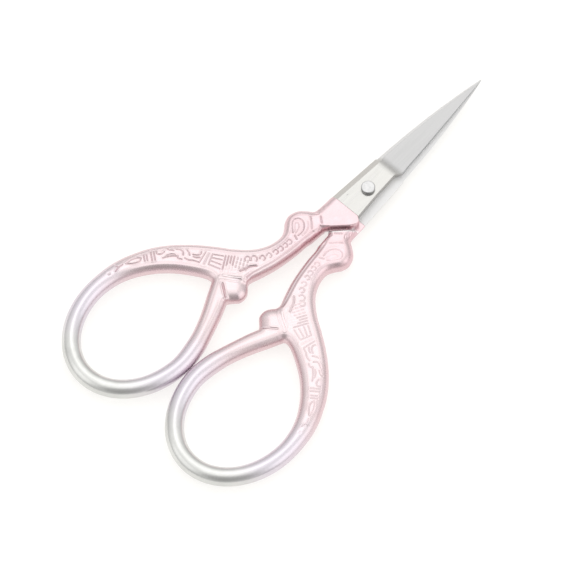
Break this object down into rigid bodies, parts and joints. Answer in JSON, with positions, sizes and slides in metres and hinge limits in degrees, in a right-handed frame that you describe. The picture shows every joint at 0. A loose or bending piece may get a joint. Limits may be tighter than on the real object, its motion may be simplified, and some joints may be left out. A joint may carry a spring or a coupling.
{
  "type": "embroidery scissors",
  "caption": "Small straight-bladed craft scissors with bare steel blades, a round pivot and cast ornamental handles with teardrop finger bows.",
  "frame": {"origin": "on the pivot's axis, in the plane where the two halves meet", "axes": "+Y from the pivot to the tips, +Z along the pivot's axis to the front (button) side, +X to the side of the back half's handle"},
  "size_m": [0.0608, 0.1143, 0.0061],
  "materials": {
    "blade_steel": "satin ground steel, polished around the pivot",
    "handle_paint": "satin pearl paint, pink fading to silver at the bows' far ends",
    "screw_steel": "polished"
  },
  "bodies": {
    "front_half": {"front_blade": "blade_steel", "front_handle": "handle_paint"},
    "back_half": {"back_blade": "blade_steel", "back_handle": "handle_paint", "pivot_screw": "screw_steel"}
  },
  "joints": [
    {"name": "pivot", "type": "hinge", "parent": "front_half", "child": "back_half", "pos_m": [0, 0, 0], "axis": [0, 0, 1], "range_deg": [0, 130]}
  ]
}
